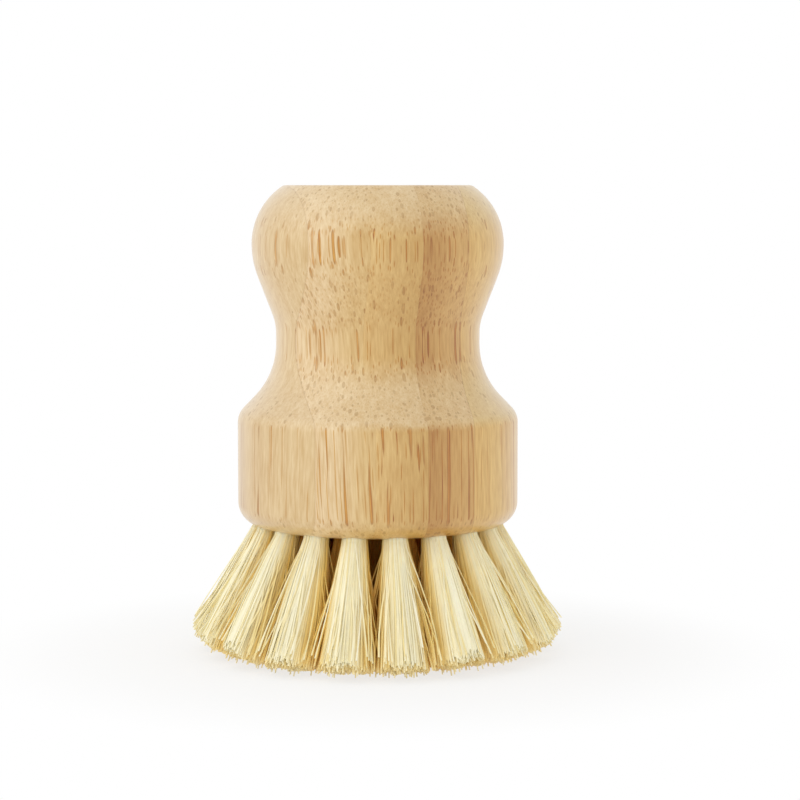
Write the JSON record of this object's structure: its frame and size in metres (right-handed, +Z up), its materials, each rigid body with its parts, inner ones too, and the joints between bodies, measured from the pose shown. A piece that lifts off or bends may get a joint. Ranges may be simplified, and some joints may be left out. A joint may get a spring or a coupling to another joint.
{
  "type": "pot brush",
  "caption": "Short palm-held pot brush: a turned bamboo handle with a round knob, a waist and a wide drum base, and splayed tufts of stiff plant fibre beneath.",
  "frame": {"origin": "centre of the handle's axis on the plane of the lowest fibre tips, where the brush stands", "axes": "+Z up along the handle's axis, towards the knob; the pictured side faces -Y"},
  "size_m": [0.062, 0.0614, 0.08],
  "materials": {
    "bamboo": "satin, sanded and thinly oiled",
    "bamboo_dark": "satin, sanded and thinly oiled",
    "fibre": "dry stiff plant fibre, slightly glossy along each strand",
    "staple_wire": "drawn flat wire"
  },
  "bodies": {
    "root": {"bamboo_strip_1": "bamboo", "bamboo_strip_2": "bamboo", "bamboo_strip_3": "bamboo", "bamboo_strip_4": "bamboo_dark", "bamboo_strip_5": "bamboo", "bamboo_strip_6": "bamboo", "tuft_outer_01": "fibre", "tuft_outer_02": "fibre", "tuft_outer_03": "fibre", "tuft_outer_04": "fibre", "tuft_outer_05": "fibre", "tuft_outer_06": "fibre", "tuft_outer_07": "fibre", "tuft_outer_08": "fibre", "tuft_outer_09": "fibre", "tuft_outer_10": "fibre", "tuft_outer_11": "fibre", "tuft_outer_12": "fibre", "tuft_outer_13": "fibre", "tuft_outer_14": "fibre", "tuft_outer_15": "fibre", "tuft_outer_16": "fibre", "tuft_outer_17": "fibre", "tuft_outer_18": "fibre", "tuft_middle_01": "fibre", "tuft_middle_02": "fibre", "tuft_middle_03": "fibre", "tuft_middle_04": "fibre", "tuft_middle_05": "fibre", "tuft_middle_06": "fibre", "tuft_middle_07": "fibre", "tuft_middle_08": "fibre", "tuft_centre_01": "fibre", "staple_outer_01": "staple_wire", "staple_outer_02": "staple_wire", "staple_outer_03": "staple_wire", "staple_outer_04": "staple_wire", "staple_outer_05": "staple_wire", "staple_outer_06": "staple_wire", "staple_outer_07": "staple_wire", "staple_outer_08": "staple_wire", "staple_outer_09": "staple_wire", "staple_outer_10": "staple_wire", "staple_outer_11": "staple_wire", "staple_outer_12": "staple_wire", "staple_outer_13": "staple_wire", "staple_outer_14": "staple_wire", "staple_outer_15": "staple_wire", "staple_outer_16": "staple_wire", "staple_outer_17": "staple_wire", "staple_outer_18": "staple_wire", "staple_middle_01": "staple_wire", "staple_middle_02": "staple_wire", "staple_middle_03": "staple_wire", "staple_middle_04": "staple_wire", "staple_middle_05": "staple_wire", "staple_middle_06": "staple_wire", "staple_middle_07": "staple_wire", "staple_middle_08": "staple_wire", "staple_centre_01": "staple_wire"}
  },
  "joints": []
}
